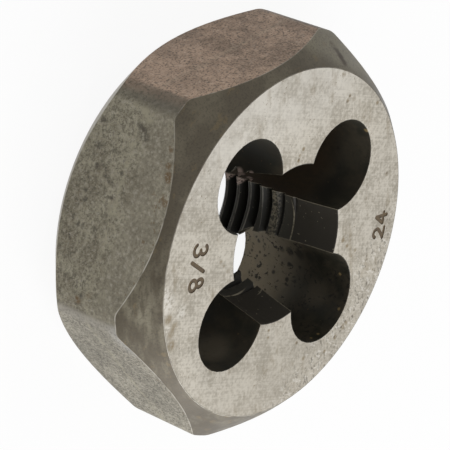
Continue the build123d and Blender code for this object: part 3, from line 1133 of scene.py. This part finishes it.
def hole_oxide(tone):
    """Chip holes: dark film, a dusty wall with black flecks that is painted lighter near the back face,
    painted light and shade at listed places, and pinkish ends beside the first teeth.
    """
    coat = Coat("dark film in the chip holes")
    patch = coat.noise(1.3 * MM, 4, 0.6)
    fleck = coat.noise(0.30 * MM, 3, 0.6)
    edge = coat.value("edge")

    # film, a dusty wall behind the packed chips with painted light that grows towards the back face, and
    # marks with places of their own
    base = coat.mix(coat.step(patch, 0.35, 0.70), tone.oxide, tone.oxide_brown)
    wall = coat.step(coat.y, 4.3 * MM, 5.0 * MM)
    dusty = coat.times(wall, coat.step(coat.z, 0.8 * MM, 6.2 * MM, 1, 0))
    dusty = coat.times(dusty, coat.step(patch, 0.25, 0.6, 0.75, 1))
    base = coat.mix(dusty, base, tone.wall)
    base = coat.dabs(base, HOLE_PAINTED_LIGHT, tone.turned_dark_and_hole_light)
    base = coat.dabs(base, HOLE_PAINTED_SHADE + HOLE_SPECKS, tone.tooth)

    # black chips, flecks and shade, rusty glints, and dust along the edges
    clot = coat.times(coat.spot((-1.2, 4.9, 1.3), 1.7), coat.step(coat.x, -2.9 * MM, -2.5 * MM))
    clot = coat.times(clot, coat.step(coat.y, 6.6 * MM, 5.8 * MM), 0.97)
    base = coat.mix(clot, base, tone.tooth)
    specks = coat.times(coat.step(fleck, 0.555, 0.595), coat.step(coat.noise(1.1 * MM, 2, 0.5), 0.42, 0.54))
    specks = coat.times(specks, coat.math("MULTIPLY_ADD", wall, 0.75, 0.25))
    base = coat.mix(coat.times(specks, 0.92), base, tone.tooth)
    glints = coat.times(coat.step(coat.noise(0.2 * MM, 2, 0.5), 0.71, 0.75), 0.6)
    base = coat.mix(glints, base, tone.rust)
    under = coat.times(coat.step(edge, 0.002, 0.05), coat.step(coat.z, 5.4 * MM, 6.2 * MM), wall)
    base = coat.mix(under, base, tone.tooth)
    dusted = coat.times(coat.step(edge, 0.45, 0.98), coat.step(fleck, 0.38, 0.55, 0.1, 0.7))
    base = coat.mix(dusted, base, tone.dust)

    # painted shade on the rake face, and pinkish ends of the first teeth
    rake = coat.times(coat.step(coat.x, -2.2 * MM, -2.8 * MM), coat.step(coat.y, 0.7 * MM, 1.2 * MM))
    rake = coat.times(rake, coat.step(coat.y, 3.6 * MM, 3.0 * MM), coat.step(coat.z, 7.5 * MM, 5.5 * MM))
    base = coat.mix(coat.times(rake, coat.step(fleck, 0.62, 0.40, 0.6, 0.9)), base, tone.dark_stain_and_shade)
    ends = coat.times(coat.step(coat.x, -2.6 * MM, -3.4 * MM), coat.step(coat.z, 3.2 * MM, 2.6 * MM))
    ends = coat.times(ends, coat.step(coat.y, 0.9 * MM, 1.4 * MM), coat.step(edge, 0.001, 0.01))
    base = coat.mix(coat.times(ends, coat.step(fleck, 0.44, 0.52)), base, tone.pinkish_ends)
    base = coat.dabs(base, HOLE_RUST, tone.stain)
    base = coat.dabs(base, HOLE_RAGS, tone.pinkish_ends, coat.step(fleck, 0.30, 0.46, 0.4, 1))
    coat.bump(coat.math("SUBTRACT", coat.times(patch, 0.3), specks), 0.3, 0.01 * MM)
    rough = coat.math("MULTIPLY_ADD", wall, -0.1, coat.step(patch, 0.3, 0.7, 0.58, 0.70))
    return coat.finish(base, coat.math("MULTIPLY_ADD", rake, 0.25, rough), 0.0, 0.25)


def land_oxide(tone):
    """Teeth and leads: black roots and flanks, bright edges on dark crests that are partly wear and partly
    painted highlight, and dusty cutting edges.
    """
    coat = Coat("thread tooth steel")
    patch = coat.noise(0.6 * MM, 4, 0.6)
    fleck = coat.noise(0.15 * MM, 3, 0.65)
    rubbed = coat.value("rubbed")
    teeth = coat.step(coat.z, 6.0 * MM, 5.2 * MM)

    # dark roots, crests with bright edges that are partly wear and partly painted highlight, and film on the
    # lead
    base = coat.mix(coat.step(rubbed, 0.94, 1.0), tone.tooth, tone.crest)
    line = coat.times(coat.step(rubbed, 0.82, 0.92), coat.step(rubbed, 0.995, 0.97))
    line = coat.times(line, coat.step(patch, 0.30, 0.55, 0.35, 1), teeth)
    base = coat.mix(line, base, tone.crest_edge_wear_and_highlight)
    base = coat.mix(coat.times(coat.step(coat.z, 5.6 * MM, 6.6 * MM), 0.85), base, tone.lead)

    # dust on the fifth tooth and in specks, and shade on the far land
    fifth = coat.times(coat.step(coat.z, 3.9 * MM, 4.7 * MM), coat.step(coat.z, 5.7 * MM, 5.1 * MM), rubbed)
    base = coat.mix(coat.times(fifth, coat.step(fleck, 0.45, 0.57), 0.75), base, tone.dust)
    specks = coat.times(coat.step(coat.noise(0.24 * MM, 2, 0.5), 0.69, 0.73), rubbed)
    base = coat.mix(coat.times(specks, 0.8), base, tone.dust)
    far = coat.step(coat.math("MINIMUM", coat.x, coat.y), 1.0 * MM, 1.6 * MM)
    base = coat.mix(coat.times(far, teeth, 0.8), base, tone.tooth)

    # pinkish tips of the first teeth, and dust along the cutting edges
    tips = coat.times(coat.step(coat.y, 2.10 * MM, 1.85 * MM), coat.step(coat.x, -3.3 * MM, -3.6 * MM))
    tips = coat.times(tips, coat.step(coat.z, 2.7 * MM, 2.2 * MM), coat.step(fleck, 0.42, 0.50))
    base = coat.mix(tips, base, tone.pinkish_ends)
    edge = coat.times(coat.step(coat.value("edge"), 0.30, 0.90), coat.step(fleck, 0.36, 0.52, 0.35, 0.95))
    base = coat.mix(edge, base, tone.dust)
    coat.bump(fleck, 0.3, 0.008 * MM)
    return coat.finish(base, coat.step(patch, 0.3, 0.7, 0.45, 0.60), 0.0, 0.30)


def mark_etch(tone):
    """Etched numerals: dark brown, a little lighter in patches."""
    coat = Coat("etched mark")
    grain = coat.noise(0.15 * MM, 3, 0.6)
    base = coat.mix(coat.step(grain, 0.4, 0.7, 0, 0.5), tone.mark, tone.stain)
    coat.bump(grain, 0.4, 0.01 * MM)
    return coat.finish(base, coat.step(grain, 0.3, 0.7, 0.6, 0.8), 0.0)


# the material of each finish, in the order of the mesh's slots
FINISHES = {
    "face": face_steel,
    "chamfer": chamfer_steel,
    "flat": flat_steel,
    "hole": hole_oxide,
    "land": land_oxide,
    "mark": mark_etch,
}


# Operators


class DIE_OT_build(bpy.types.Operator):
    """Build the die with its thread, marks and worn steel"""

    bl_idname = "die.build"
    bl_label = "Build Die"
    bl_options = {"REGISTER", "UNDO"}

    def execute(self, context):
        scene = context.scene
        mesh = closed_mesh("hexagon_die", die_parts(scene.die_sizes))
        for make in FINISHES.values():
            mesh.materials.append(make(scene.die_finish))
        piece = bpy.data.objects.new("hexagon_die", mesh)
        scene.collection.objects.link(piece)
        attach(piece, "root")
        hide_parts("hex_die")
        return {"FINISHED"}


class DIE_OT_stage(bpy.types.Operator):
    """Build the floor, the lamps, the world and the camera"""

    bl_idname = "die.stage"
    bl_label = "Build Stage"
    bl_options = {"REGISTER", "UNDO"}

    def execute(self, context):
        scene = context.scene
        studio = scene.die_studio
        self.floor(scene, studio)
        self.world(scene, studio)
        self.key_lamp(scene, studio)
        self.camera(scene, studio)
        scene.view_settings.view_transform = "Standard"
        return {"FINISHED"}

    def floor(self, scene, studio):
        """A square that takes the shadow and looks nearly white by itself."""
        side, below = studio.floor_half, -studio.floor_drop
        corners = [(-side, -side, below), (side, -side, below), (side, side, below), (-side, side, below)]
        mesh = bpy.data.meshes.new("floor")
        mesh.from_pydata(corners, [], [(0, 1, 2, 3)])
        coat = Coat("pale floor")
        coat.finish(studio.floor, 0.8, 0.0)
        lit = coat.add("ShaderNodeEmission")
        lit.inputs["Color"].default_value = (1, 1, 1, 1)
        lit.inputs["Strength"].default_value = 1.0
        seen = coat.add("ShaderNodeLightPath")
        mirrored = coat.math("MAXIMUM", seen.outputs["Is Glossy Ray"], seen.outputs["Is Transmission Ray"])
        share = coat.times(coat.math("MAXIMUM", seen.outputs["Is Camera Ray"], mirrored), studio.floor_glow)
        mixed = coat.add("ShaderNodeMixShader")
        coat.feed(mixed.inputs[0], share)
        coat.tree.links.new(coat.shader.outputs[0], mixed.inputs[1])
        coat.tree.links.new(lit.outputs[0], mixed.inputs[2])
        coat.tree.links.new(mixed.outputs[0], coat.output.inputs["Surface"])
        mesh.materials.append(coat.material)
        floor = bpy.data.objects.new("floor", mesh)
        scene.collection.objects.link(floor)

    def key_lamp(self, scene, studio):
        """A square area lamp that faces the die."""
        light = bpy.data.lights.new("key lamp", "AREA")
        light.size = studio.key_size
        light.energy = studio.key_power
        lamp = bpy.data.objects.new("key lamp", light)
        lamp.location = studio.key_place
        target = Vector((0.0, 0.0, studio.key_target))
        lamp.rotation_euler = (target - lamp.location).to_track_quat("-Z", "Y").to_euler()
        scene.collection.objects.link(lamp)

    def world(self, scene, studio):
        """Light from all round, and white behind the die."""
        world = bpy.data.worlds.new("studio")
        world.use_nodes = True
        scene.world = world
        tree = world.node_tree
        back = tree.nodes["Background"]
        back.inputs["Color"].default_value = (1, 1, 1, 1)
        seen = tree.nodes.new("ShaderNodeLightPath")
        level = tree.nodes.new("ShaderNodeMapRange")
        tree.links.new(seen.outputs["Is Camera Ray"], level.inputs["Value"])
        level.inputs["To Min"].default_value = studio.sky
        level.inputs["To Max"].default_value = 1.0
        tree.links.new(level.outputs[0], back.inputs["Strength"])

    def camera(self, scene, studio):
        """The camera at the photograph's viewing angle."""
        data = bpy.data.cameras.new("camera")
        data.lens = studio.lens
        data.sensor_width = 36
        data.clip_start = 0.005
        data.clip_end = 10
        camera = bpy.data.objects.new("camera", data)
        back = -Vector(studio.camera_ahead).normalized()
        right = Vector(studio.camera_right).normalized()
        up = back.cross(right).normalized()
        right = up.cross(back)
        turn = Matrix((right, up, back)).transposed().to_4x4()
        camera.matrix_world = Matrix.Translation(studio.camera_place) @ turn
        scene.collection.objects.link(camera)
        scene.camera = camera


class DIE_PT_panel(bpy.types.Panel):
    """Sizes, finish and stage of the die"""

    bl_idname = "DIE_PT_panel"
    bl_label = "Threading Die"
    bl_space_type = "VIEW_3D"
    bl_region_type = "UI"
    bl_category = "Die"

    def draw(self, context):
        layout = self.layout
        layout.use_property_split = True
        layout.operator("die.build")
        layout.operator("die.stage")
        for label, group in SETTINGS.items():
            box = layout.box()
            box.label(text=group.__doc__)
            settings = getattr(context.scene, label)
            for key in group.__annotations__:
                box.prop(settings, key)


CLASSES = (DieSizes, DieFinish, StudioSettings, DIE_OT_build, DIE_OT_stage, DIE_PT_panel)


def register():
    """Adds the classes, and the settings to the scene."""
    for item in CLASSES:
        bpy.utils.register_class(item)
    for label, group in SETTINGS.items():
        setattr(bpy.types.Scene, label, bpy.props.PointerProperty(type=group))


def unregister():
    """Takes away what register adds."""
    for label in SETTINGS:
        delattr(bpy.types.Scene, label)
    for item in reversed(CLASSES):
        bpy.utils.unregister_class(item)


def main():
    """Builds the die and its stage."""
    register()
    bpy.ops.die.build()
    bpy.ops.die.stage()


if __name__ == "__main__":
    main()
